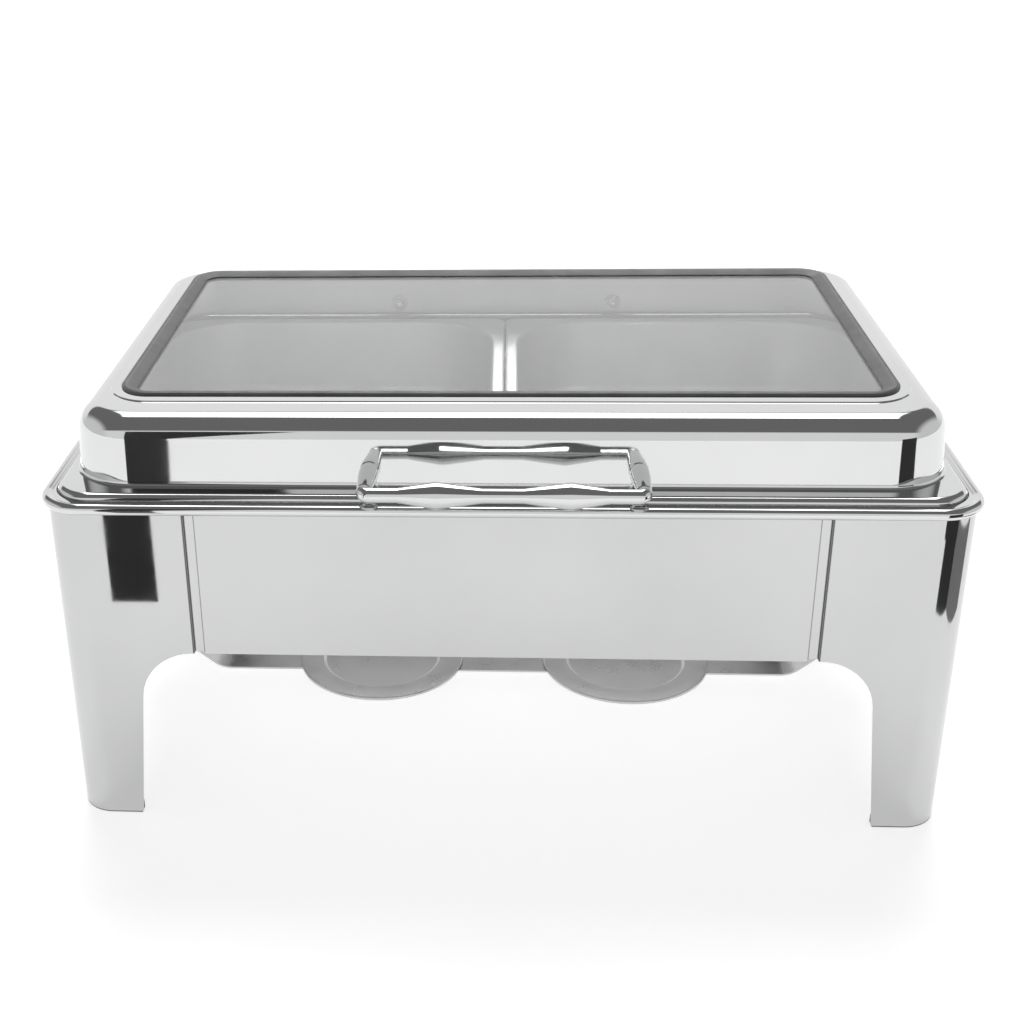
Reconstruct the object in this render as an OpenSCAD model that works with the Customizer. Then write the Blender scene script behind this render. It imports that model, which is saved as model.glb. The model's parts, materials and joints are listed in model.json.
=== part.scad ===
// Rectangular buffet server: a polished stand with two fuel-can trays, a lift-out
// water pan, two food pans side by side and a rear-hinged lid with a glass window.
// Millimetres, +Z up, the front (handle side) faces -Y. The shapes are drawn about
// the middle of the rim, and the nodes are then moved along Y so that the origin is
// on the floor under the middle of the whole server, handle and hinges included.

/* [Server] */
// Overall width over the rolled rim
server_w = 600; // [560:1:640]
// Overall depth over the rolled rim
server_d = 419; // [400:1:450]
// Height of the flat part of the rim above the floor
rim_z = 235.5; // [225:0.5:260]
// Thickness of the sheet in the pans and the lid
pan_t = 0.8; // [0.6:0.1:0.9]

/* [Stand] */
// Thickness of the stand's sheet
stand_t = 1; // [0.8:0.1:1.2]
// Outer corner radius of the stand
stand_r = 24; // [18:1:26]
// Height of the aprons' sheet
apron_h = 101; // [95:1:110]
// Width of the seam groove between a leg panel and an apron
seam_w = 7.2; // [4:0.1:8]
// Width of a leg's face at the floor
leg_w = 45.5; // [40:0.5:50]
// Radius of the arch between a leg and an apron
arch_r = 37; // [30:1:40]

/* [Pans] */
// Depth of the water pan's well
well_depth = 94; // [80:1:94]
// Depth of a food pan
pan_depth = 65; // [40:1:75]
// Gap between the two food pans
pan_gap = 1.4; // [1:0.1:3]

/* [Lid] */
// Height of the lid's flat top above its flange
dome_h = 45.3; // [44:0.1:50]
// Rounding between the dome's wall and its top
dome_fillet = 16; // [13:0.5:16]
// Lean of the dome's wall in degrees
dome_lean = 4.5; // [3:0.1:5]
// Distance of the window's middle behind the server's middle
window_shift = 13.5; // [5:0.5:13.5]
// Thickness of the window glass
glass_t = 4; // [3:0.5:4]

/* [Handle] */
// Distance of a handle post from the middle
post_x = 85.5; // [80:0.5:95]
// Distance of the handle bar's axis from the dome's wall
handle_reach = 45.5; // [38:0.5:50]
// Largest radius of the handle bar
bar_r = 8.5; // [6:0.1:9]

/* [Hinge] */
// Distance of a hinge from the middle
hinge_x = 90; // [60:1:150]
// Radius of the hinge pins
pin_r = 2; // [1.5:0.1:2.2]

/* [Burner rail] */
// Half width of the rail
rail_half = 16.5; // [15:0.5:22]
// Distance of a burner tray from the middle
tray_x = 98; // [80:1:110]
// Outer radius of a burner tray
tray_r = 65.5; // [56:0.5:68]

/* [Hidden] */
$fn = 96;

polished = [0.86, 0.87, 0.88];
satin = [0.62, 0.63, 0.64];
black_rubber = [0.12, 0.12, 0.13];
clear_glass = [0.75, 0.85, 0.86, 0.35];

far = 400;              // reaches past the whole server
fit_gap = 0.3;          // air between parts that move against each other
arc_steps = 6;          // flats in a quarter of a pressed rounding
half_w = server_w / 2;
half_d = server_d / 2;

// rim of the water pan
bead_r = 3.6;
bead_z = rim_z + 1.3 - bead_r;
bead_corner = 27.4;     // corner radius of the bead's centre line
bead_x = half_w - bead_r;
bead_y = half_d - bead_r;
step_x = half_w - 8.4;  // step down from the rim to the trough
step_y = half_d - 11.4;
step_r = 25.6;
trough_z = rim_z - 1.9;
well_x = half_w - 22.5;
well_y = half_d - 42;
well_r = 64;

// stand
stand_x = half_w - 4.5;
stand_y = half_d - 4.5;
stand_top = bead_z - bead_r - fit_gap;
apron_z = stand_top - apron_h;
wing_x = half_w - 96.5; // inner end of a leg panel's front return
apron_x = wing_x - seam_w;
seam_depth = 3;         // depth of the seam groove, and of the leg panel's turned-in edge
lap = 18;               // reach of the apron's tab behind the leg panel
foot_lift = 0.8;        // floor to the edge of the leg sheet
leg_lean = 5.3;         // outward lean of a leg's inner edge, degrees

// food pans
pan_x = half_w - 19.4;
pan_y = half_d - 37.2;
pan_top = rim_z + 2.5;
pan_lip = 4.1;
pan_r = 58;

// lid
flange_z = rim_z + 3.8;
lip_x = half_w - 9;
lip_y = half_d - 12;
lip_r = 4.4;
lip_corner = 25;
dome_x = half_w - 16.5;
dome_y = half_d - 28;
dome_r = 42;
lid_z = flange_z + dome_h;
wall_top = lid_z - dome_fillet;
wall_in = (wall_top - flange_z) * tan(dome_lean);
window_x = half_w - 48;
window_y = half_d - 65.7;
window_r = 16;
glass_top = lid_z - 1.6;
fixing_z = flange_z + 10.3;
stud_r = 2;
clear_r = 2.1;

// hinge
hinge_y = half_d + 1.7;
hinge_z = rim_z + 7.5;
bore_r = pin_r + 0.05;
knuckle_r = 4.5;
knuckle_half = 6;
ear_t = 2;
strap_t = 1.5;

// handle
neck_r = 4.6;

// ---------- shared shapes ----------

// points of an arc from angle a0 to angle a1
function arc(cx, cz, r, a0, a1, n = arc_steps) =
    [for (i = [0 : n]) [cx + r * cos(a0 + (a1 - a0) * i / n), cz + r * sin(a0 + (a1 - a0) * i / n)]];

// closes an outline with its own mirror image across the middle
function both_sides(right) =
    concat(right, [for (i = [len(right) - 1 : -1 : 0]) [-right[i][0], right[i][1]]]);

// outward position of the dome's wall at height z
function wall_y(z) = dome_y - (z - flange_z) * tan(dome_lean);

module round_rect(x0, x1, y0, y1, r) {
    translate([x0 + r, y0]) square([x1 - x0 - 2 * r, y1 - y0]);
    translate([x0, y0 + r]) square([x1 - x0, y1 - y0 - 2 * r]);
    for (x = [x0 + r, x1 - r], y = [y0 + r, y1 - r])
        translate([x, y]) circle(r);
}

module centred_rect(hx, hy, r) { round_rect(-hx, hx, -hy, hy, r); }

// flat plate between two rounded rectangles
module frame_plate(z, t, ox, oy, o_r, ix, iy, i_r) {
    translate([0, 0, z])
        linear_extrude(t)
            difference() {
                centred_rect(ox, oy, o_r);
                centred_rect(ix, iy, i_r);
            }
}

// carries a section [outward, height] round a rounded rectangle
module pressed_ring(x0, x1, y0, y1, r, section) {
    for (c = [[x1 - r, y1 - r, 0], [x0 + r, y1 - r, 90], [x0 + r, y0 + r, 180], [x1 - r, y0 + r, 270]])
        translate([c[0], c[1], 0])
            rotate([0, 0, c[2]])
                rotate_extrude(angle = 90)
                    translate([r, 0])
                        polygon(section);
    for (side = [[x1, y1 - r, 0, y1 - y0 - 2 * r], [x0 + r, y1, 90, x1 - x0 - 2 * r],
                 [x0, y0 + r, 180, y1 - y0 - 2 * r], [x1 - r, y0, 270, x1 - x0 - 2 * r]])
        translate([side[0], side[1], 0])
            rotate([0, 0, side[2]])
                rotate([90, 0, 0])
                    linear_extrude(side[3])
                        polygon(section);
}

// puts its children on the dome's wall at height z, +Y pointing out of the wall
module on_wall(x, z, front) {
    translate([x, front ? -wall_y(z) : wall_y(z), z])
        rotate([0, 0, front ? 180 : 0])
            rotate([dome_lean, 0, 0])
                children();
}

// drill through the wall at the fixing height
module wall_drill(x, front, r) {
    on_wall(x, fixing_z, front) rotate([90, 0, 0]) cylinder(h = 24, r = r, center = true);
}

// ---------- stand ----------

// opening between two legs, as seen from the front or the side
module arch(foot) {
    top_z = apron_z - arch_r;
    centre = foot - top_z * tan(leg_lean) - arch_r / cos(leg_lean);
    half = concat([[0, -10], [foot + 10 * tan(leg_lean), -10]],
                  arc(centre, top_z, arch_r, leg_lean, 90, 10), [[0, apron_z]]);
    polygon(half);
    mirror([1, 0]) polygon(half);
}

module stand_outline(inset) { centred_rect(stand_x - inset, stand_y - inset, stand_r - inset); }

// one pressed end: two legs, the side apron and the front and rear returns
module right_end_frame() {
    color(polished)
        difference() {
            translate([0, 0, foot_lift])
                linear_extrude(stand_top - foot_lift) {
                    intersection() {
                        difference() {
                            stand_outline(0);
                            stand_outline(stand_t);
                        }
                        translate([wing_x, -far]) square([far, 2 * far]);
                    }
                    for (y = [-stand_y, stand_y - seam_depth])
                        translate([wing_x, y]) square([stand_t, seam_depth]);
                }
            rotate([90, 0, 0]) translate([0, 0, -far]) linear_extrude(2 * far) arch(stand_x - leg_w);
            rotate([90, 0, 90]) linear_extrude(far) arch(stand_y - leg_w);
        }
}

module left_end_frame() { mirror([1, 0, 0]) right_end_frame(); }

// apron sheet from above: flat, with both ends stepped in behind the leg panels
module front_apron() {
    y0 = -stand_y;
    y1 = y0 + seam_depth;
    right = [[apron_x, y0], [apron_x + 1, y1], [wing_x + lap, y1], [wing_x + lap, y1 + stand_t],
             [apron_x, y1 + stand_t], [apron_x - 1, y0 + stand_t]];
    color(polished)
        translate([0, 0, apron_z])
            linear_extrude(apron_h)
                polygon(both_sides(right));
}

module rear_apron() { mirror([0, 1, 0]) front_apron(); }

// one L-shaped glide inside the bottom of the right rear leg
module foot_insert() {
    arm = 6;
    module corner(outer, h) {
        linear_extrude(h)
            intersection() {
                difference() {
                    stand_outline(outer);
                    stand_outline(stand_t + arm);
                }
                translate([stand_x - leg_w + 0.5, stand_y - leg_w + 0.5]) square(far);
            }
    }
    corner(stand_t, arm);
    corner(0.1, foot_lift);
}

module foot_inserts() {
    color(black_rubber)
        for (sx = [0, 1], sy = [0, 1])
            mirror([sx, 0, 0]) mirror([0, sy, 0]) foot_insert();
}

// ---------- burner rail and trays ----------

rail_t = 1.5;
rail_z = 6;
rail_flat = half_w - 73.5;
rail_slope = 39;
rail_wall = stand_x - stand_t;
rail_knee_z = rail_z + (rail_wall - rail_flat) * tan(rail_slope);
low_bend = 22;          // outer radii of the rail's bends
high_bend = 12;
rail_end_z = stand_top - 79;
rivet_z = stand_top - 89;
rivet_y = 9;
rivet_r = 2;

module burner_rail() {
    x1 = rail_flat - low_bend * tan(rail_slope / 2);
    z1 = rail_z + low_bend;
    x2 = rail_wall - high_bend;
    z2 = rail_knee_z + high_bend * tan(45 - rail_slope / 2);
    turn = rail_slope - 90;
    right = concat(arc(x1, z1, low_bend, -90, turn), arc(x2, z2, high_bend, turn, 0),
                   [[rail_wall, rail_end_z], [rail_wall - rail_t, rail_end_z]],
                   arc(x2, z2, high_bend - rail_t, 0, turn), arc(x1, z1, low_bend - rail_t, turn, -90));
    color(satin)
        difference() {
            rotate([90, 0, 0])
                translate([0, 0, -rail_half])
                    linear_extrude(2 * rail_half)
                        polygon(both_sides(right));
            for (s = [-1, 1], y = [-rivet_y, rivet_y])
                translate([s * rail_wall, y, rivet_z])
                    rotate([0, 90, 0]) cylinder(h = 8, r = rivet_r, center = true);
        }
}

// rivet heads closed on the inside of the rail's upright ends
module rail_rivets() {
    back = rail_t;
    color(polished)
        for (s = [-1, 1], y = [-rivet_y, rivet_y])
            translate([s * rail_wall, y, rivet_z])
                rotate([0, -s * 90, 0])
                    rotate_extrude()
                        polygon([[0, 0], [rivet_r, 0], [rivet_r, back], [3.6, back], [3.4, back + 0.7],
                                 [2.4, back + 1.3], [0, back + 1.6]]);
}

module burner_tray(x) {
    seat = tray_r - 20;
    rise = 2.7;
    color(satin)
        translate([x, 0, rail_z + rail_t])
            rotate_extrude()
                polygon([[0, 0], [seat, 0], [seat + 2, rise - pan_t], [tray_r - pan_t, rise - pan_t],
                         [tray_r - pan_t, 0.4], [tray_r, 0.4], [tray_r, rise],
                         [seat + 1.6, rise], [seat - 0.4, pan_t], [0, pan_t]]);
}

module burner_tray_left() { burner_tray(-tray_x); }

module burner_tray_right() { burner_tray(tray_x); }

// ---------- pans ----------

// deep-drawn box, open at the top: leaning walls, rounded foot, flat bottom
module drawn_box(x0, x1, y0, y1, r, top, depth, lean, foot, t) {
    bottom = top - depth;
    reach = lean + foot;
    section = concat([[0, top]], arc(-reach, bottom + foot, foot, 0, -90), [[-reach - 2, bottom]],
                     [[-reach - 2, bottom - t]], arc(-reach, bottom + foot, foot + t, -90, 0), [[t, top]]);
    pressed_ring(x0, x1, y0, y1, r, section);
    translate([0, 0, bottom - t])
        linear_extrude(t)
            round_rect(x0 + reach, x1 - reach, y0 + reach, y1 - reach, r - reach);
}

bracket_half = 20;
bracket_y0 = step_y + 0.5;
bracket_y1 = step_y + 4.8;  // ends short of the rolled bead
bracket_t = 1.5;
pin_dx = 14;
plate_rivet_r = 1.3;
plate_rivet_y = (bracket_y0 + bracket_y1) / 2;

module plate_rivet_holes() {
    for (s = [-1, 1], d = [-pin_dx, pin_dx])
        translate([s * hinge_x + d, plate_rivet_y, rim_z - 3]) cylinder(h = 8, r = plate_rivet_r);
}

module water_pan() {
    t = pan_t;
    color(polished) {
        drawn_box(-well_x, well_x, -well_y, well_y, well_r, trough_z, well_depth, 3, 12, t);
        frame_plate(trough_z - t, t, step_x + t, step_y + t, step_r + t,
                    well_x + t / 2, well_y + t / 2, well_r + t / 2);
        frame_plate(trough_z - t, rim_z - trough_z + t, step_x + t, step_y + t, step_r + t,
                    step_x, step_y, step_r);
        difference() {
            frame_plate(rim_z - t, t, bead_x - 2, bead_y - 2, bead_corner - 2, step_x, step_y, step_r);
            plate_rivet_holes();
        }
        pressed_ring(-bead_x, bead_x, -bead_y, bead_y, bead_corner,
                     concat(arc(0, bead_z, bead_r, 150, -90, 14), arc(0, bead_z, bead_r - t, -90, 150, 14)));
    }
}

module hinge_bracket(x) {
    ear_z = rim_z + 1.8;
    color(polished)
        difference() {
            translate([x, 0, 0]) {
                translate([-bracket_half, bracket_y0, rim_z])
                    cube([2 * bracket_half, bracket_y1 - bracket_y0, bracket_t]);
                for (s = [-1, 1])
                    translate([s > 0 ? knuckle_half + fit_gap : -knuckle_half - fit_gap - ear_t, 0, 0]) {
                        translate([0, hinge_y, hinge_z]) rotate([0, 90, 0]) cylinder(h = ear_t, r = knuckle_r);
                        translate([0, bracket_y0, ear_z])
                            cube([ear_t, hinge_y - bracket_y0, hinge_z - ear_z]);
                        translate([0, bracket_y0, rim_z])
                            cube([ear_t, bracket_y1 - bracket_y0, ear_z - rim_z + 1]);
                    }
            }
            translate([x, hinge_y, hinge_z])
                rotate([0, 90, 0]) cylinder(h = 60, r = bore_r, center = true);
            plate_rivet_holes();
        }
}

module hinge_bracket_left() { hinge_bracket(-hinge_x); }

module hinge_bracket_right() { hinge_bracket(hinge_x); }

module bracket_rivets() {
    color(polished)
        for (s = [-1, 1], d = [-pin_dx, pin_dx])
            translate([s * hinge_x + d, plate_rivet_y, rim_z])
                rotate_extrude()
                    polygon([[0, -pan_t - 0.8], [1.7, -pan_t - 0.8], [1.7, -pan_t], [plate_rivet_r, -pan_t],
                             [plate_rivet_r, bracket_t], [2.1, bracket_t], [1.8, bracket_t + 0.7],
                             [0, bracket_t + 1.2]]);
}

module hinge_pins() {
    reach = knuckle_half + fit_gap + ear_t;
    color(satin)
        for (s = [-1, 1])
            translate([s * hinge_x, hinge_y, hinge_z])
                rotate([0, 90, 0])
                    rotate_extrude()
                        polygon([[0, -reach - 1.4], [2.2, -reach - 1.4], [3.2, -reach - 0.7], [3.2, -reach],
                                 [pin_r, -reach], [pin_r, reach], [2.9, reach], [2.5, reach + 0.9],
                                 [0, reach + 1.2]]);
}

module pan_outline(inset) {
    x0 = pan_gap / 2 + inset;
    intersection() {
        round_rect(x0, pan_x - inset, inset - pan_y, pan_y - inset, 8 - inset);
        round_rect(-far, pan_x - inset, inset - pan_y, pan_y - inset, 34 - inset);
    }
}

module food_pan_right() {
    x0 = pan_gap / 2 + 9.6;
    x1 = pan_x - 6.1;
    y1 = pan_y - 8.8;
    t = pan_t;
    color(polished) {
        drawn_box(x0, x1, -y1, y1, pan_r, pan_top, pan_depth, 3, 12, t);
        translate([0, 0, pan_top - t])
            linear_extrude(t)
                difference() {
                    pan_outline(0);
                    round_rect(x0 - t / 2, x1 + t / 2, -y1 - t / 2, y1 + t / 2, pan_r + t / 2);
                }
        translate([0, 0, pan_top - pan_lip])
            linear_extrude(pan_lip - t / 2)
                difference() {
                    pan_outline(0);
                    pan_outline(t);
                }
    }
}

module food_pan_left() { mirror([1, 0, 0]) food_pan_right(); }

// ---------- lid ----------

module window_outline(grow) {
    translate([0, window_shift])
        centred_rect(window_x + grow, window_y + grow, window_r + grow);
}

module lid_shell() {
    t = pan_t;
    f = dome_fillet;
    crown = -wall_in - f;
    section = concat([[0, flange_z - t], [0, flange_z]], arc(crown, wall_top, f, 0, 90),
                     [[crown - 1, lid_z], [crown - 1, lid_z - t]], arc(crown, wall_top, f - t, 90, 0),
                     [[t * tan(dome_lean) - t, flange_z - t]]);
    lip = concat(arc(0, 0, lip_r, 90, 0), [[lip_r, -0.9], [lip_r - t, -0.9]], arc(0, 0, lip_r - t, 0, 90));
    color(polished)
        difference() {
            union() {
                pressed_ring(-dome_x, dome_x, -dome_y, dome_y, dome_r, section);
                translate([0, 0, lid_z - t])
                    linear_extrude(t)
                        difference() {
                            centred_rect(dome_x + crown, dome_y + crown, dome_r + crown);
                            window_outline(0);
                        }
                frame_plate(flange_z - t, t, lip_x - lip_r, lip_y - lip_r, lip_corner - lip_r,
                            dome_x - t / 2, dome_y - t / 2, dome_r - t / 2);
                translate([0, 0, flange_z - lip_r])
                    pressed_ring(lip_r - lip_x, lip_x - lip_r, lip_r - lip_y, lip_y - lip_r,
                                 lip_corner - lip_r, lip);
            }
            for (s = [-1, 1]) {
                wall_drill(s * post_x, true, clear_r);
                wall_drill(s * hinge_x, false, clear_r);
            }
        }
}

// rubber section: lip on the lid sloping down to the sunken glass, slots for sheet and glass
module window_gasket() {
    low = glass_top - glass_t;
    section = [[5.5, lid_z], [5.2, lid_z + 1.1], [4.2, lid_z + 1.8], [2.8, lid_z + 2], [1.4, lid_z + 1.7],
               [-5.2, glass_top + 0.3], [-5.5, glass_top], [-3.7, glass_top], [-3.7, low],
               [-6, low], [-6, low - 1.6], [3, low - 1.6], [4.5, lid_z - 2.4], [4.5, lid_z - pan_t],
               [0, lid_z - pan_t], [0, lid_z]];
    color(black_rubber)
        pressed_ring(-window_x, window_x, window_shift - window_y, window_shift + window_y,
                     window_r, section);
}

module window_glass() {
    color(clear_glass)
        translate([0, 0, glass_top - glass_t])
            linear_extrude(glass_t)
                window_outline(-3.7);
}

// lid half of a hinge: plate on the rear wall, arm over the rim, knuckle
module hinge_strap(x) {
    half = 11;
    arm_z = hinge_z - 2;
    color(polished)
        difference() {
            union() {
                on_wall(x, fixing_z, false) translate([-half, 0, -8.4]) cube([2 * half, strap_t, 15.4]);
                translate([x - knuckle_half, wall_y(arm_z) + 0.4, arm_z])
                    cube([2 * knuckle_half, hinge_y - wall_y(arm_z) - 0.4, strap_t]);
                translate([x - knuckle_half, hinge_y, hinge_z])
                    rotate([0, 90, 0]) cylinder(h = 2 * knuckle_half, r = knuckle_r);
            }
            translate([x, hinge_y, hinge_z])
                rotate([0, 90, 0]) cylinder(h = 40, r = bore_r, center = true);
            wall_drill(x, false, clear_r);
        }
}

module hinge_strap_left() { hinge_strap(-hinge_x); }

module hinge_strap_right() { hinge_strap(hinge_x); }

washer_t = 0.8;
screw_tail = pan_t + washer_t + 3.2; // reach of screws and studs inside the wall

// screws through the straps and the rear wall, heads outside
module hinge_screws() {
    color(polished)
        for (s = [-1, 1])
            on_wall(s * hinge_x, fixing_z, false)
                rotate([-90, 0, 0])
                    rotate_extrude()
                        polygon([[0, -screw_tail], [stud_r, -screw_tail], [stud_r, strap_t], [4.2, strap_t],
                                 [3.8, strap_t + 1.2], [2.4, strap_t + 2.1], [0, strap_t + 2.4]]);
}

// places its children on the inner face of the wall at all four fixings
module at_fixings() {
    for (s = [-1, 1]) {
        on_wall(s * post_x, fixing_z, true) translate([0, -pan_t, 0]) rotate([90, 0, 0]) children();
        on_wall(s * hinge_x, fixing_z, false) translate([0, -pan_t, 0]) rotate([90, 0, 0]) children();
    }
}

module lid_washers() {
    color(polished)
        at_fixings()
            difference() {
                cylinder(h = washer_t, r = 6.7);
                translate([0, 0, -1]) cylinder(h = 4, r = clear_r);
            }
}

// acorn nuts: hexagon with a closed rounded cap
module lid_nuts() {
    hex_h = 3;
    cap_r = 3.4;
    cap_h = 2.7;
    cap = concat([[0, 0]], [for (a = [0 : 15 : 75]) [cap_r * cos(a), cap_h * sin(a)]], [[0, cap_h]]);
    color(polished)
        at_fixings()
            translate([0, 0, washer_t])
                difference() {
                    union() {
                        cylinder(h = hex_h, r = 4.2, $fn = 6);
                        translate([0, 0, hex_h]) rotate_extrude() polygon(cap);
                    }
                    translate([0, 0, -1]) cylinder(h = 4.4, r = clear_r);
                }
}

// ---------- handle ----------

stud_reach = 9;
post_end = handle_reach - 4;
front_reach = wall_y(fixing_z) + handle_reach * cos(dome_lean) + bar_r;
rear_reach = hinge_y + knuckle_r;

// threaded studs from the posts through the wall to the acorn nuts
module handle_studs() {
    color(satin)
        for (s = [-1, 1])
            on_wall(s * post_x, fixing_z, true)
                translate([0, -screw_tail, 0])
                    rotate([-90, 0, 0]) cylinder(h = stud_reach + screw_tail, r = stud_r);
}

// post square to the wall, fuller at its foot, with a groove where the bar's elbow sits
module handle_post(x) {
    color(polished)
        on_wall(x, fixing_z, true)
            rotate([-90, 0, 0])
                difference() {
                    rotate_extrude()
                        polygon([[0, 0], [6.2, 0], [6.5, 1.5], [6.5, 8], [6.2, 16], [5.5, 26],
                                 [4.8, post_end - 4], [4, post_end - 3.4], [4, post_end - 2.6],
                                 [4.6, post_end - 2], [4.6, post_end], [0, post_end]]);
                    translate([0, 0, -1]) cylinder(h = stud_reach + 1.5, r = clear_r);
                }
}

module handle_post_left() { handle_post(-post_x); }

module handle_post_right() { handle_post(post_x); }

// turned bar with two spindle swells, rounded into an elbow at each end
module handle_bar() {
    swell_x = 41;
    swell_in = 28;       // length of a swell's taper towards the middle
    swell_out = 23;      // and towards the elbow
    color(polished)
        on_wall(0, fixing_z, true)
            translate([0, handle_reach, 0])
                difference() {
                    union() {
                        rotate([0, 90, 0])
                            rotate_extrude()
                                polygon([[0, -post_x], [neck_r, -post_x], [neck_r, -swell_x - swell_out],
                                         [bar_r, -swell_x], [neck_r, swell_in - swell_x],
                                         [neck_r, swell_x - swell_in], [bar_r, swell_x],
                                         [neck_r, swell_x + swell_out], [neck_r, post_x], [0, post_x]]);
                        for (s = [-1, 1])
                            translate([s * post_x, 0, 0]) sphere(neck_r);
                        for (s = [-1, 1])
                            translate([s * post_x, post_end - handle_reach, 0])
                                rotate([-90, 0, 0]) cylinder(h = handle_reach - post_end, r = neck_r);
                    }
                    for (s = [-1, 1])
                        translate([s * post_x, post_end - handle_reach, 0])
                            rotate([90, 0, 0]) cylinder(h = 10, r = 8);
                }
}

// ---------- nodes ----------

// moves a node so that the front and rear reaches are equal
module in_place() {
    translate([0, (front_reach - rear_reach) / 2, 0]) children();
}

in_place() left_end_frame();
in_place() right_end_frame();
in_place() front_apron();
in_place() rear_apron();
in_place() foot_inserts();
in_place() burner_rail();
in_place() rail_rivets();
in_place() burner_tray_left();
in_place() burner_tray_right();
in_place() water_pan();
in_place() hinge_bracket_left();
in_place() hinge_bracket_right();
in_place() bracket_rivets();
in_place() hinge_pins();
in_place() food_pan_left();
in_place() food_pan_right();
in_place() lid_shell();
in_place() window_gasket();
in_place() window_glass();
in_place() hinge_strap_left();
in_place() hinge_strap_right();
in_place() hinge_screws();
in_place() lid_washers();
in_place() lid_nuts();
in_place() handle_bar();
in_place() handle_post_left();
in_place() handle_post_right();
in_place() handle_studs();
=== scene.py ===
"""Looks of the buffet server: polished pressed shells, glass window, handle and studio."""

import json
import math

import bmesh
import bpy
from mathutils import Matrix, Vector


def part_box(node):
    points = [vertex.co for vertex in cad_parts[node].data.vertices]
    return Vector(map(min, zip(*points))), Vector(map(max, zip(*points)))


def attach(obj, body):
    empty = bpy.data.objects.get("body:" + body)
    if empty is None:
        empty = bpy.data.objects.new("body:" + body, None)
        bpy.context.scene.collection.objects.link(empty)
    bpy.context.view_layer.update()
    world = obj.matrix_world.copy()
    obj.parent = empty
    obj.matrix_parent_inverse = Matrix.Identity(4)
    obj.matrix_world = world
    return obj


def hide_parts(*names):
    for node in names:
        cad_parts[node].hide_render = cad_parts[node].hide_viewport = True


MM = 0.001
CORNER_STEPS = 20    # divisions of an outline's corner
FILLET_STEPS = 10    # divisions of a fillet
SHEET = 0.8          # sheet of lid and pans
FOLD_LIMIT = 1.6     # how far a fold may push a sheet's back, in thicknesses
WELD = 0.0005        # points closer than this are one
SHARP = math.radians(38)     # edges bent by more than this shade as sharp

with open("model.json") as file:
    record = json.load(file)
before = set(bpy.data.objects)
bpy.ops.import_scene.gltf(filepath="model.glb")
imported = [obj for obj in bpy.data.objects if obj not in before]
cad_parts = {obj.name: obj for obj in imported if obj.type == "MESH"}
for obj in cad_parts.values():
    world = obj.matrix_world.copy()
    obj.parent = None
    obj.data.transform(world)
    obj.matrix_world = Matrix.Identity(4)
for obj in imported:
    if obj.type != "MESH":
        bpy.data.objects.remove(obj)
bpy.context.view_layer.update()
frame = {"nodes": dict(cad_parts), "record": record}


# ---------- places, from the CAD ----------

def box_mm(node):
    """Lowest and highest corner of a CAD node in millimetres."""
    low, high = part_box(node)
    return [v / MM for v in low], [v / MM for v in high]


RIM_LOW, RIM_HIGH = box_mm("water_pan")
LID_LOW, LID_HIGH = box_mm("lid_shell")
GASKET_LOW, GASKET_HIGH = box_mm("window_gasket")
PAN_LOW, PAN_HIGH = box_mm("food_pan_right")
BAR_LOW, BAR_HIGH = box_mm("handle_bar")

MID_Y = (RIM_LOW[1] + RIM_HIGH[1]) / 2     # middle of the rim
BEAD_R = 3.6         # rolled rim
BEAD_RISE = 1.3      # the bead's top over the flat rim
TROUGH_DEPTH = 1.9   # trough under the flat rim
FLANGE_RISE = 3.8    # lid's flange over the flat rim
FLAT_Z = RIM_HIGH[2] - BEAD_RISE
TROUGH_Z = FLAT_Z - TROUGH_DEPTH
WELL_FLOOR = RIM_LOW[2] + SHEET
FLANGE_Z = FLAT_Z + FLANGE_RISE
LID_Z = LID_HIGH[2]
PAN_Z = PAN_HIGH[2]
PAN_FLOOR = PAN_LOW[2] + SHEET
LEAN_ANGLE = math.radians(4.5)       # lean of the lid's wall
LEAN = math.tan(LEAN_ANGLE)
CREASE = 0.7         # step in the lid's top ahead of the window
LIP_OUT = 5.5        # reach of the gasket's lip from the window's edge
TOP_IN = 19.1        # from the dome's foot to the raised top, at the sides and rear
TOP_IN_FRONT = 34.5  # the same at the front


def outline(low_x, high_x, low_y, high_y, *radii):
    """A rounded rectangle. One radius, or four: rear right, rear left, front left, front right."""
    if len(radii) == 1:
        radii = radii * 4
    return (low_x, high_x, low_y, high_y, radii)


def inside(low, high, dx, dy, r):
    """The outline a distance inside a node's box."""
    return outline(low[0] + dx, high[0] - dx, low[1] + dy, high[1] - dy, r)


BEAD = inside(RIM_LOW, RIM_HIGH, BEAD_R, BEAD_R, 27.4)
STEP = inside(RIM_LOW, RIM_HIGH, 8.4, 11.4, 25.6)
WELL = inside(RIM_LOW, RIM_HIGH, 22.5, 42, 64)
LIP = inside(LID_LOW, LID_HIGH, 0, 0, 25)
DOME = inside(LID_LOW, LID_HIGH, 7.5, 16, 42)
TOP = outline(DOME[0] + TOP_IN, DOME[1] - TOP_IN, DOME[2] + TOP_IN_FRONT, DOME[3] - TOP_IN, 23, 23, 32, 32)
WINDOW = inside(GASKET_LOW, GASKET_HIGH, LIP_OUT, LIP_OUT, 16)
FLANGE = outline(PAN_LOW[0], PAN_HIGH[0], PAN_LOW[1], PAN_HIGH[1], 34, 8, 8, 34)
MOUTH = outline(PAN_LOW[0] + 9.6, PAN_HIGH[0] - 6.1, PAN_LOW[1] + 8.8, PAN_HIGH[1] - 8.8, 58)


# ---------- mesh helpers ----------

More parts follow.
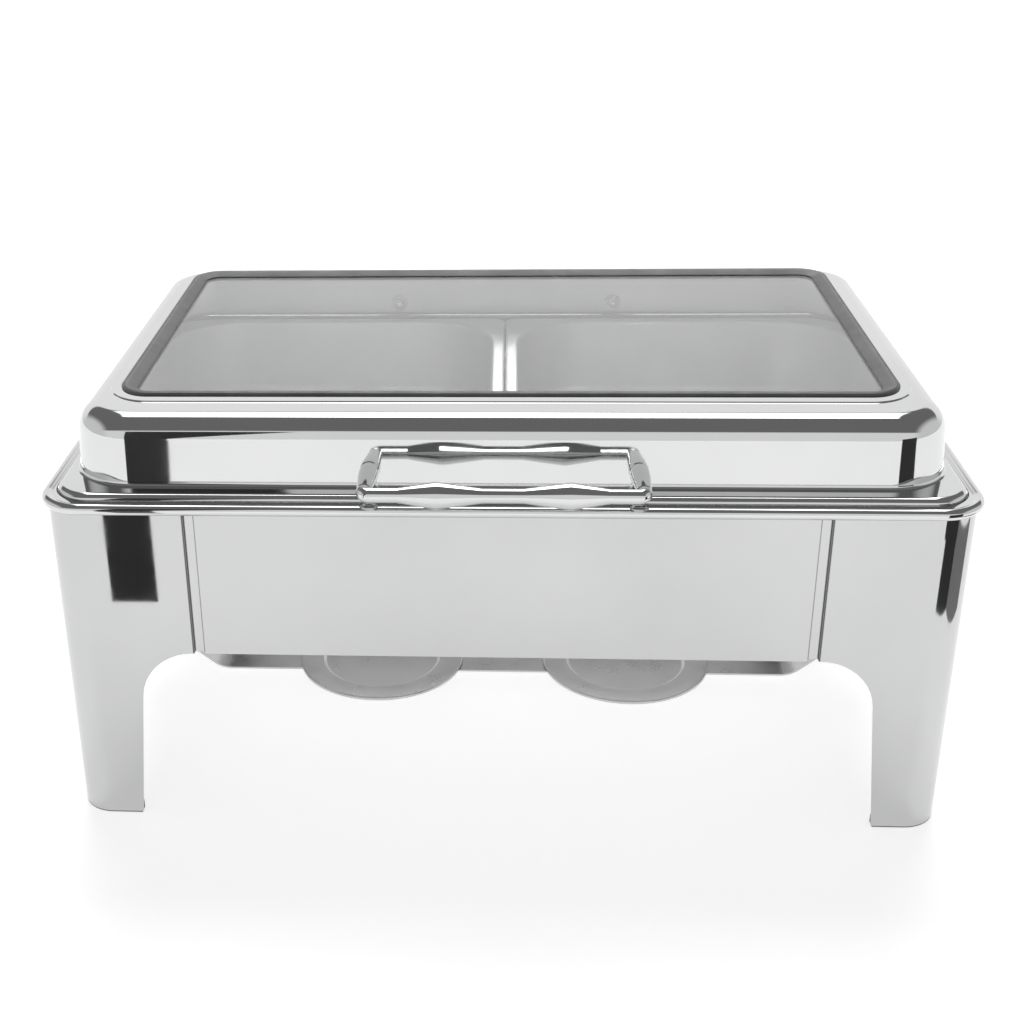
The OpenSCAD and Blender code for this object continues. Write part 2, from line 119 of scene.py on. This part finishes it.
def loop(shape, out, z):
    """Points round an outline grown by out, at height z."""
    low_x, high_x, low_y, high_y, radii = shape
    low_x, high_x, low_y, high_y = low_x - out, high_x + out, low_y - out, high_y + out
    r = [max(v + out, 0.3) for v in radii]
    corners = ((high_x - r[0], high_y - r[0], r[0], 0), (low_x + r[1], high_y - r[1], r[1], 90),
               (low_x + r[2], low_y + r[2], r[2], 180), (high_x - r[3], low_y + r[3], r[3], 270))
    points = []
    for cx, cy, radius, start in corners:
        for i in range(CORNER_STEPS + 1):
            a = math.radians(start + 90 * i / CORNER_STEPS)
            points.append((cx + radius * math.cos(a), cy + radius * math.sin(a), z))
    return points


def rounded(points, steps=FILLET_STEPS, closed=False):
    """A line of (out, z, radius) points with each corner rounded to its radius."""
    result = []
    count = len(points)
    for i, (x, z, r) in enumerate(points):
        if r <= 0 or (not closed and i in (0, count - 1)):
            result.append((x, z))
            continue
        here = Vector((x, z))
        before = (Vector(points[i - 1][:2]) - here).normalized()
        after = (Vector(points[(i + 1) % count][:2]) - here).normalized()
        half = before.angle(after) / 2
        centre = here + (before + after).normalized() * (r / math.sin(half))
        start = here + before * (r / math.tan(half)) - centre
        turn = before.cross(after)
        sweep = (math.pi - 2 * half) * (-1 if turn > 0 else 1)
        for k in range(steps + 1):
            a = sweep * k / steps
            result.append((centre.x + start.x * math.cos(a) - start.y * math.sin(a),
                           centre.y + start.x * math.sin(a) + start.y * math.cos(a)))
    return result


def finish_mesh(name, bm, material):
    """Turns a bmesh in millimetres into an object, smooth except at real edges."""
    bmesh.ops.remove_doubles(bm, verts=bm.verts, dist=WELD)
    bmesh.ops.recalc_face_normals(bm, faces=bm.faces)
    for face in bm.faces:
        face.smooth = True
    for edge in bm.edges:
        edge.smooth = len(edge.link_faces) == 2 and edge.calc_face_angle(0) < SHARP
    bmesh.ops.scale(bm, vec=(MM, MM, MM), verts=bm.verts)
    mesh = bpy.data.meshes.new(name)
    bm.to_mesh(mesh)
    bm.free()
    obj = bpy.data.objects.new(name, mesh)
    bpy.context.scene.collection.objects.link(obj)
    mesh.materials.append(material)
    return obj


def bridge(bm, a, b):
    """Faces between two closed rows of points."""
    for i in range(len(a)):
        j = (i + 1) % len(a)
        bm.faces.new((a[i], a[j], b[j], b[i]))


def pressed(name, groups, material, thickness, capped=False, mirror=False, back_material=None):
    """A sheet pressed over outlines: its face first, then its back, which can be less polished."""
    bm = bmesh.new()
    rows = []
    for shape, section in groups:
        for out, z in section:
            rows.append([bm.verts.new(p) for p in loop(shape, out, z)])
    for a, b in zip(rows, rows[1:]):
        bridge(bm, a, b)
    if capped:
        bm.faces.new(rows[-1])
    bm.normal_update()
    back = {}
    for row in rows:
        for v in row:
            back[v] = v.co - v.normal * thickness * min(v.calc_shell_factor(), FOLD_LIMIT)
    inner = {v: bm.verts.new(co) for v, co in back.items()}
    for face in list(bm.faces):
        bm.faces.new([inner[v] for v in reversed(face.verts)]).material_index = 1 if back_material else 0
    ends = [rows[0]] if capped else [rows[0], rows[-1]]
    for row in ends:
        bridge(bm, row, [inner[v] for v in row])
    if mirror:
        bmesh.ops.scale(bm, vec=(-1, 1, 1), verts=bm.verts)
    obj = finish_mesh(name, bm, material)
    if back_material:
        obj.data.materials.append(back_material)
    return obj


def moulded(name, shape, section, material):
    """A closed section carried round an outline, such as a gasket."""
    bm = bmesh.new()
    rows = [[bm.verts.new(p) for p in loop(shape, out, z)] for out, z in section]
    for i in range(len(rows)):
        bridge(bm, rows[i], rows[(i + 1) % len(rows)])
    return finish_mesh(name, bm, material)


def turned(name, section, place, material, steps=72):
    """A section of (along, radius) points turned about its axis."""
    bm = bmesh.new()
    rows = []
    for along, radius in section:
        ring = []
        for i in range(steps):
            a = 2 * math.pi * i / steps
            ring.append(bm.verts.new(place @ Vector((radius * math.cos(a), radius * math.sin(a), along))))
        rows.append(ring)
    for a, b in zip(rows, rows[1:]):
        bridge(bm, a, b)
    return finish_mesh(name, bm, material)


# ---------- materials ----------

NOISE_LOW, NOISE_HIGH = 0.3, 0.7     # most of a noise's values lie between these


def new_material(name):
    """A material with its nodes, links and main shader."""
    material = bpy.data.materials.new(name)
    material.use_nodes = True
    nodes = material.node_tree.nodes
    return material, nodes, material.node_tree.links, nodes["Principled BSDF"]


def noise(nodes, links, scale, detail, stretch=(1, 1, 1)):
    """Noise over the object's own coordinates, so that it rides with the piece."""
    where = nodes.new("ShaderNodeTexCoord")
    mapping = nodes.new("ShaderNodeMapping")
    mapping.inputs["Scale"].default_value = stretch
    texture = nodes.new("ShaderNodeTexNoise")
    texture.inputs["Scale"].default_value = scale
    texture.inputs["Detail"].default_value = detail
    links.new(where.outputs["Object"], mapping.inputs["Vector"])
    links.new(mapping.outputs["Vector"], texture.inputs["Vector"])
    return texture.outputs["Fac"]


def between(nodes, links, source, low, high):
    """A noise spread over low to high."""
    spread = nodes.new("ShaderNodeMapRange")
    spread.inputs["From Min"].default_value = NOISE_LOW
    spread.inputs["From Max"].default_value = NOISE_HIGH
    spread.inputs["To Min"].default_value = low
    spread.inputs["To Max"].default_value = high
    links.new(source, spread.inputs["Value"])
    return spread.outputs["Result"]


def tint(nodes, links, source, dark, light):
    """A noise turned into colours from dark to light."""
    ramp = nodes.new("ShaderNodeValToRGB")
    ramp.color_ramp.elements[0].position = NOISE_LOW
    ramp.color_ramp.elements[0].color = (*dark, 1)
    ramp.color_ramp.elements[1].position = NOISE_HIGH
    ramp.color_ramp.elements[1].color = (*light, 1)
    links.new(source, ramp.inputs["Fac"])
    return ramp.outputs["Color"]


def relief(nodes, links, source, shader, strength, distance):
    """A noise as slight heights on the surface."""
    bump = nodes.new("ShaderNodeBump")
    bump.inputs["Strength"].default_value = strength
    bump.inputs["Distance"].default_value = distance
    links.new(source, bump.inputs["Height"])
    links.new(bump.outputs["Normal"], shader.inputs["Normal"])


def steel(name, dark, light, rough, grain, stretch, wave):
    """Stainless sheet: faint stains in colour, uneven gloss and slight waves in the sheet."""
    material, nodes, links, shader = new_material(name)
    shader.inputs["Metallic"].default_value = 1
    stain = noise(nodes, links, 9, 4)
    polish = noise(nodes, links, grain, 5, stretch)
    links.new(tint(nodes, links, stain, dark, light), shader.inputs["Base Color"])
    links.new(between(nodes, links, polish, *rough), shader.inputs["Roughness"])
    relief(nodes, links, noise(nodes, links, wave[0], 1), shader, wave[1], wave[2])
    return material


def maths(nodes, links, operation, a, b=None):
    """A math node on sockets or numbers."""
    math_node = nodes.new("ShaderNodeMath")
    math_node.operation = operation
    for i, value in enumerate((a, b)):
        if value is None:
            continue
        if isinstance(value, (int, float)):
            math_node.inputs[i].default_value = value
        else:
            links.new(value, math_node.inputs[i])
    return math_node.outputs[0]


def smooth_range(nodes, links, source, low, high, at_low, at_high):
    """A value that eases from at_low to at_high while source goes from low to high."""
    spread = nodes.new("ShaderNodeMapRange")
    spread.interpolation_type = "SMOOTHSTEP"
    for socket, value in (("From Min", low), ("From Max", high), ("To Min", at_low), ("To Max", at_high)):
        spread.inputs[socket].default_value = value
    links.new(source, spread.inputs["Value"])
    return spread.outputs["Result"]


# Painted shade along the seams between aprons and leg panels: the steel's colour is darkened there in
# place of shade in the grooves.
SEAM_CORE = 0.3      # the painted shade darkens the steel most this near to a seam
SEAM_EDGE = 0.9      # and the steel has its own colour again here
SEAM_SHADE_STRENGTH = 0.85
SEAM_SHADE_GREY = 0.03


def paint_seam_shade(material, places):
    """Paints shade into the steel's colour near |x| = each place, darkening the seams."""
    nodes, links = material.node_tree.nodes, material.node_tree.links
    split = nodes.new("ShaderNodeSeparateXYZ")
    links.new(nodes.new("ShaderNodeTexCoord").outputs["Object"], split.inputs["Vector"])
    aside = maths(nodes, links, "ABSOLUTE", split.outputs["X"])
    gaps = [maths(nodes, links, "ABSOLUTE", maths(nodes, links, "SUBTRACT", aside, place * MM))
            for place in places]
    shade_mask = smooth_range(nodes, links, maths(nodes, links, "MINIMUM", *gaps),
                        SEAM_CORE * MM, SEAM_EDGE * MM, SEAM_SHADE_STRENGTH, 0)
    # painted shade: the steel's colour is mixed towards dark grey near each seam
    mix = nodes.new("ShaderNodeMixRGB")
    mix.inputs["Color2"].default_value = (SEAM_SHADE_GREY, SEAM_SHADE_GREY, SEAM_SHADE_GREY, 1)
    base = nodes["Principled BSDF"].inputs["Base Color"]
    links.new(base.links[0].from_socket, mix.inputs["Color1"])
    links.new(shade_mask, mix.inputs["Fac"])
    links.new(mix.outputs["Color"], base)


def dull(name, dark, light, rough, grain, height):
    """Rubber or moulded plastic with a fine grain."""
    material, nodes, links, shader = new_material(name)
    links.new(tint(nodes, links, noise(nodes, links, 30, 3), dark, light), shader.inputs["Base Color"])
    links.new(between(nodes, links, noise(nodes, links, 90, 3), *rough), shader.inputs["Roughness"])
    relief(nodes, links, noise(nodes, links, grain, 4), shader, 0.4, height)
    return material


def clear_glass(name):
    """Clear glass with a faint unevenness in its gloss."""
    material, nodes, links, shader = new_material(name)
    shader.inputs["Transmission Weight"].default_value = 1
    shader.inputs["IOR"].default_value = 1.48
    links.new(tint(nodes, links, noise(nodes, links, 3, 1), (0.98, 0.995, 0.99), (0.993, 1, 0.997)),
              shader.inputs["Base Color"])
    links.new(between(nodes, links, noise(nodes, links, 12, 3), 0.0, 0.012), shader.inputs["Roughness"])
    return material


POLISH = ((0.035, 0.07), 60, (1, 1, 1), (7, 0.12, 0.0004))     # gloss, grain, stretch, waves
MIRROR = steel("polished_steel", (0.63, 0.633, 0.636), (0.67, 0.672, 0.675), *POLISH)
SOFT = steel("drawn_steel", (0.95, 0.951, 0.953), (0.985, 0.986, 0.987), (0.46, 0.56), 50, (1, 1, 1),
             (9, 0.1, 0.0004))
SATIN = steel("satin_steel", (0.54, 0.54, 0.545), (0.60, 0.60, 0.605), (0.26, 0.34), 60, (1, 1, 1),
              (14, 0.08, 0.0003))
RUBBER = dull("black_rubber", (0.062, 0.062, 0.064), (0.094, 0.094, 0.097), (0.36, 0.48), 900, 0.00004)
PLASTIC = dull("black_plastic", (0.02, 0.02, 0.021), (0.032, 0.032, 0.033), (0.4, 0.55), 1200, 0.00003)
GLASS = clear_glass("window_glass")

FINISHES = {"polished_steel": MIRROR, "satin_steel": SATIN, "black_rubber": RUBBER,
            "black_plastic": PLASTIC, "window_glass": GLASS}

APRON_TUCK = 25.2    # length of an apron's end behind a leg panel
APRON_X = box_mm("front_apron")[1][0] - APRON_TUCK     # end of the apron's face
WING_X = box_mm("right_end_frame")[0][0]               # edge of a leg panel
# Aprons and end frames: polished steel a little darker than the rest, with painted shade darkening its
# colour along the seams.
SEAM_SHADED = steel("seam_shaded_steel", (0.53, 0.532, 0.535), (0.565, 0.567, 0.57), *POLISH)
paint_seam_shade(SEAM_SHADED, (APRON_X + 0.5, WING_X + 0.3))

for part in frame["record"]["subparts"]:
    node = frame["nodes"][part["node"]]
    node.data.materials.clear()
    seam_shaded = part["node"].endswith(("_apron", "_end_frame"))
    node.data.materials.append(SEAM_SHADED if seam_shaded else FINISHES[part["material_slot"]])


def add(obj, body, slot, *nodes):
    """The piece rides on a body and stands for CAD nodes, which it hides. The slot is not used."""
    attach(obj, body)
    if nodes:
        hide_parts(*nodes)


# ---------- water pan and food pans ----------

BEAD_Z = FLAT_Z + BEAD_RISE - BEAD_R
bead = [(BEAD_R * math.cos(math.radians(a)), BEAD_Z + BEAD_R * math.sin(math.radians(a)))
        for a in range(-95, 126, 10)]
water_pan = pressed("water_pan_shell", [
    (BEAD, bead + [(-2.7, FLAT_Z + 0.35), (-3.2, FLAT_Z + 0.05), (-3.6, FLAT_Z)]),
    (STEP, rounded([(1.1, FLAT_Z, 0), (0, FLAT_Z, 0.6), (0, TROUGH_Z, 0.6), (-1.4, TROUGH_Z, 0)])),
    (WELL, rounded([(3, TROUGH_Z, 0), (0, TROUGH_Z, 2.5), (-3, WELL_FLOOR, 12), (-17, WELL_FLOOR, 0)])),
], MIRROR, SHEET, capped=True)
add(water_pan, "water_pan", "polished_steel", "water_pan")

for side in ("right", "left"):
    pan = pressed("food_pan_" + side + "_shell", [
        (FLANGE, rounded([(0, PAN_Z - 4.1, 0), (0, PAN_Z, 1.6), (-2.6, PAN_Z, 0)])),
        (MOUTH, rounded([(3, PAN_Z, 0), (0, PAN_Z, 2.5), (-3, PAN_FLOOR, 12), (-16, PAN_FLOOR, 0)])),
    ], SOFT, SHEET, capped=True, mirror=side == "left")
    add(pan, "food_pan_" + side, "polished_steel", "food_pan_" + side)


# ---------- lid ----------

STRIP_Z = LID_Z - CREASE
lid = pressed("lid_dome", [
    (LIP, rounded([(0, LID_LOW[2], 0), (0, FLANGE_Z, 4.4), (-4.6, FLANGE_Z, 0)])),
    (DOME, rounded([(2.7, FLANGE_Z, 0), (0, FLANGE_Z, 2.4), (-(STRIP_Z - FLANGE_Z) * LEAN, STRIP_Z, 16),
                    (-18.7, STRIP_Z, 0)], steps=20)),
    (TOP, [(0.34, STRIP_Z), (0, STRIP_Z), (-0.8, LID_Z), (-1.7, LID_Z)]),
    (WINDOW, [(0, LID_Z)]),
], MIRROR, SHEET, back_material=SOFT)
add(lid, "lid", "polished_steel", "lid_shell")

GLASS_LOW, GLASS_TOP = (corner[2] for corner in box_mm("window_glass"))
gasket = moulded("window_gasket_rubber", WINDOW, rounded([
    (LIP_OUT, STRIP_Z + 0.05, 0), (5.2, LID_Z + 1.3, 0.7), (3, LID_Z + 2, 1), (1.2, LID_Z + 1.7, 1),
    (-5.2, GLASS_TOP + 0.5, 0.3), (-5.5, GLASS_TOP, 0), (-3.7, GLASS_TOP, 0), (-3.7, GLASS_LOW, 0),
    (-6, GLASS_LOW, 0), (-6, GLASS_LOW - 1.6, 0.4), (3, GLASS_LOW - 1.6, 0.4), (4.5, LID_Z - 2.4, 0.4),
    (4.5, LID_Z - 0.8, 0), (0, LID_Z - 0.8, 0), (0, LID_Z, 0),
    (4.8, LID_Z, 0), (4.9, STRIP_Z + 0.05, 0)], steps=4, closed=True), RUBBER)
add(gasket, "lid", "black_rubber", "window_gasket")


# ---------- handle bar ----------

NECK_R = 4.6
SWELL_R = (BAR_HIGH[2] - BAR_LOW[2]) / 2
POST_X = BAR_HIGH[0] - NECK_R
SWELL_X = 41
TAPER_IN = 28
TAPER_OUT = 23
ELBOW = 4            # bend radius of the bar's axis, out to where it meets the post
CREST = 1.02         # a swell's height before its point is rounded off
CREST_SOFT = 0.0015  # how much the point is rounded

bar_axis = Vector((0, (BAR_LOW[1] + BAR_HIGH[1]) / 2, (BAR_LOW[2] + BAR_HIGH[2]) / 2))
bar_back = Vector((0, math.cos(LEAN_ANGLE), -math.sin(LEAN_ANGLE)))
bar_up = Vector((0, math.sin(LEAN_ANGLE), math.cos(LEAN_ANGLE)))


def bar_radius(x):
    """Radius of the bar at x: a plain neck with two pointed spindle swells."""
    off = abs(x) - SWELL_X
    slope = off / (TAPER_OUT if off > 0 else TAPER_IN)
    return NECK_R + (SWELL_R - NECK_R) * max(CREST - math.sqrt(slope ** 2 + CREST_SOFT), 0)


def tube(name, path, material, steps=48):
    """A tube along a flat path of (x, distance to the rear, radius) points, closed at its ends."""
    bm = bmesh.new()
    centres = [bar_axis + Vector((x, 0, 0)) + bar_back * rear for x, rear, _ in path]
    rows = []
    for i, (x, rear, radius) in enumerate(path):
        along = (centres[min(i + 1, len(path) - 1)] - centres[max(i - 1, 0)]).normalized()
        across = along.cross(bar_up)
        ring = []
        for k in range(steps):
            a = 2 * math.pi * k / steps
            ring.append(bm.verts.new(centres[i] + radius * (math.cos(a) * bar_up + math.sin(a) * across)))
        rows.append(ring)
    for a, b in zip(rows, rows[1:]):
        bridge(bm, a, b)
    bm.faces.new(rows[0])
    bm.faces.new(rows[-1])
    return finish_mesh(name, bm, material)


half_path = []
for i in range(13):
    a = math.radians(90 * i / 12)
    half_path.append((POST_X - ELBOW + ELBOW * math.cos(a), ELBOW - ELBOW * math.sin(a), NECK_R))
bar_steps = 90
for i in range(1, bar_steps + 1):
    bar_x = (POST_X - ELBOW) * (1 - i / bar_steps)
    half_path.append((bar_x, 0, bar_radius(bar_x)))
full_path = half_path + [(-x, rear, radius) for x, rear, radius in reversed(half_path[:-1])]
bar = tube("handle_bar_turned", full_path, MIRROR)
add(bar, "lid", "polished_steel", "handle_bar")


# ---------- burner trays ----------

BRIM = 20            # width of a tray outside its seat

for side in ("left", "right"):
    low, high = box_mm("burner_tray_" + side)
    radius = (high[1] - low[1]) / 2
    seat = radius - BRIM
    rise = high[2] - low[2]
    section = rounded([
        (0, 0.01, 0), (0, seat, 1), (rise - SHEET, seat + 2, 1), (rise - SHEET, radius - SHEET, 0.3),
        (0.4, radius - SHEET, 0), (0.4, radius, 0), (rise, radius, 0.9), (rise, seat + 1.6, 0.9),
        (SHEET, seat - 0.4, 0.9), (SHEET, 0.01, 0)], steps=5)
    tray = turned("burner_tray_" + side + "_pressed", section,
                  Matrix.Translation(((low[0] + high[0]) / 2, MID_Y, low[2])), SATIN, steps=96)
    add(tray, "stand", "satin_steel", "burner_tray_" + side)


# ---------- studio ----------

def plain(name, colour, rough):
    """A flat colour, for the studio only."""
    material, nodes, links, shader = new_material(name)
    shader.inputs["Base Color"].default_value = (*colour, 1)
    shader.inputs["Roughness"].default_value = rough
    return material


def card(name, corners, material):
    """A flat stage card."""
    mesh = bpy.data.meshes.new(name)
    mesh.from_pydata([tuple(v * MM for v in p) for p in corners], [], [(0, 1, 2, 3)])
    obj = bpy.data.objects.new(name, mesh)
    bpy.context.scene.collection.objects.link(obj)
    mesh.materials.append(material)
    return obj


FLOOR_HALF = 9000
FLOOR_GLOW = 0.70    # lifts the floor towards the photo's white
table = plain("floor_white", (0.6, 0.6, 0.6), 0.9)
table_shader = table.node_tree.nodes["Principled BSDF"]
table_shader.inputs["Emission Color"].default_value = (1, 1, 1, 1)
table_shader.inputs["Emission Strength"].default_value = FLOOR_GLOW
card("floor", [(-FLOOR_HALF, -FLOOR_HALF, 0), (FLOOR_HALF, -FLOOR_HALF, 0),
               (FLOOR_HALF, FLOOR_HALF, 0), (-FLOOR_HALF, FLOOR_HALF, 0)], table)

# Dark flags beside the server: they darken its corners as studio flags do.
BLACK = plain("flag_black", (0.02, 0.02, 0.02), 0.9)
GREY = plain("flag_grey", (0.24, 0.24, 0.24), 0.9)


def flag(name, start, end, low, high, material=BLACK, top_end=None):
    """An upright flag from start to end, each (x, y), seen only in reflections."""
    top = top_end or end
    corners = ((*start, low), (*end, low), (*top, high), (*start, high))
    obj = card(name, [(x, MID_Y + y, z) for x, y, z in corners], material)
    obj.visible_camera = False
    obj.visible_shadow = False
    obj.visible_diffuse = False


flag("flag_leg", (-292, -330), (-257, -330), 100, 178)
flag("flag_lid_low", (-325, -420), (-278, -420), 150, 268)
flag("flag_lid_high", (-325, -420), (-278, -420), 268, 430, top_end=(-175, -420))
flag("flag_right_leg", (418, -496), (547, -394), 0, 92)
flag("flag_right_side", (547, -394), (609, -138), 0, 90, GREY)
flag("flag_right_lid", (383, -448), (498, -350), 95, 300)

world = bpy.data.worlds.new("studio")
bpy.context.scene.world = world
world.use_nodes = True
wn, wl = world.node_tree.nodes, world.node_tree.links
wn.clear()


# The room, by the angle over the server from the front horizon to the rear one:
# a low light front, a dim room overhead and a light backdrop.
ROOM = ((0, 0.91), (35.5, 0.91), (38.5, 0.18), (151, 0.18), (154, 1.02), (180, 1.02))
BRIGHTEST = max(level for _, level in ROOM)
# A white softbox hangs in the dim part. Its ends and the plain sides of the room
# are given by how far a direction points sideways, from 0 to 1.
BOX_ANGLES = (108, 112, 145, 148)
BOX_HALF_WIDTH = 0.29
BOX_SOFT_EDGE = 0.03
BOX_LEVEL = 5.5
SIDE_FROM, SIDE_TO = 0.72, 0.9
SIDE_LEVEL = 0.78
direction = wn.new("ShaderNodeTexCoord")
split = wn.new("ShaderNodeSeparateXYZ")
wl.new(direction.outputs["Generated"], split.inputs["Vector"])
forward_part = maths(wn, wl, "MULTIPLY", split.outputs["Y"], -1.0)
over = maths(wn, wl, "DIVIDE", maths(wn, wl, "ARCTAN2", split.outputs["Z"], forward_part), math.pi)
room = wn.new("ShaderNodeValToRGB")
stops = room.color_ramp.elements
while len(stops) < len(ROOM):
    stops.new(0.5)
for stop, (angle, level) in zip(stops, ROOM):
    stop.position = angle / 180
    stop.color = (level / BRIGHTEST, level / BRIGHTEST, level / BRIGHTEST, 1)
wl.new(over, room.inputs["Fac"])
off_middle = maths(wn, wl, "ABSOLUTE", split.outputs["X"])
aside = smooth_range(wn, wl, off_middle, SIDE_FROM, SIDE_TO, 0, 1)
plain_side = maths(wn, wl, "MULTIPLY", aside, SIDE_LEVEL)
patterned = maths(wn, wl, "MULTIPLY", maths(wn, wl, "MULTIPLY", room.outputs["Color"], BRIGHTEST),
                  maths(wn, wl, "SUBTRACT", 1.0, aside))
turns = [angle / 180 for angle in BOX_ANGLES]
from_front = smooth_range(wn, wl, over, turns[0], turns[1], 0, BOX_LEVEL)
to_rear = smooth_range(wn, wl, over, turns[2], turns[3], 1, 0)
sideways = smooth_range(wn, wl, off_middle, BOX_HALF_WIDTH - BOX_SOFT_EDGE,
                        BOX_HALF_WIDTH + BOX_SOFT_EDGE, 1, 0)
softbox = maths(wn, wl, "MULTIPLY", maths(wn, wl, "MULTIPLY", from_front, to_rear), sideways)
brightness = maths(wn, wl, "ADD", softbox, maths(wn, wl, "ADD", plain_side, patterned))
seen = wn.new("ShaderNodeLightPath")
background = wn.new("ShaderNodeBackground")
to_camera = wn.new("ShaderNodeBackground")
to_camera.inputs["Color"].default_value = (1, 1, 1, 1)
background.inputs["Color"].default_value = (1, 1, 1, 1)
wl.new(brightness, background.inputs["Strength"])
mix = wn.new("ShaderNodeMixShader")
output = wn.new("ShaderNodeOutputWorld")
wl.new(seen.outputs["Is Camera Ray"], mix.inputs["Fac"])
wl.new(background.outputs["Background"], mix.inputs[1])
wl.new(to_camera.outputs["Background"], mix.inputs[2])
wl.new(mix.outputs["Shader"], output.inputs["Surface"])

scene = bpy.context.scene
scene.view_settings.view_transform = "Standard"
scene.view_settings.look = "None"


# ---------- camera ----------

CAMERA_MM = (1.953, -1067.6, 627.5)     # from the floor under the middle of the rim
YAW, PITCH, ROLL = (math.radians(a) for a in (-4.372, 25.018, -1.443))
LENS = 53.288        # millimetres
SENSOR = 36
SHIFT = (0.1082, 0.0123)

forward = Vector((math.sin(YAW) * math.cos(PITCH), math.cos(YAW) * math.cos(PITCH), -math.sin(PITCH)))
level_right = Vector((math.cos(YAW), -math.sin(YAW), 0))
level_up = level_right.cross(forward)
right = math.cos(ROLL) * level_right + math.sin(ROLL) * level_up
up = -math.sin(ROLL) * level_right + math.cos(ROLL) * level_up

camera = bpy.data.objects.new("camera", bpy.data.cameras.new("camera"))
scene.collection.objects.link(camera)
camera.data.lens = LENS
camera.data.sensor_width = SENSOR
camera.data.shift_x, camera.data.shift_y = SHIFT
camera.data.clip_end = 100
camera.matrix_world = Matrix((
    (right.x, up.x, -forward.x, CAMERA_MM[0] * MM),
    (right.y, up.y, -forward.y, (CAMERA_MM[1] + MID_Y) * MM),
    (right.z, up.z, -forward.z, CAMERA_MM[2] * MM),
    (0, 0, 0, 1)))
scene.camera = camera
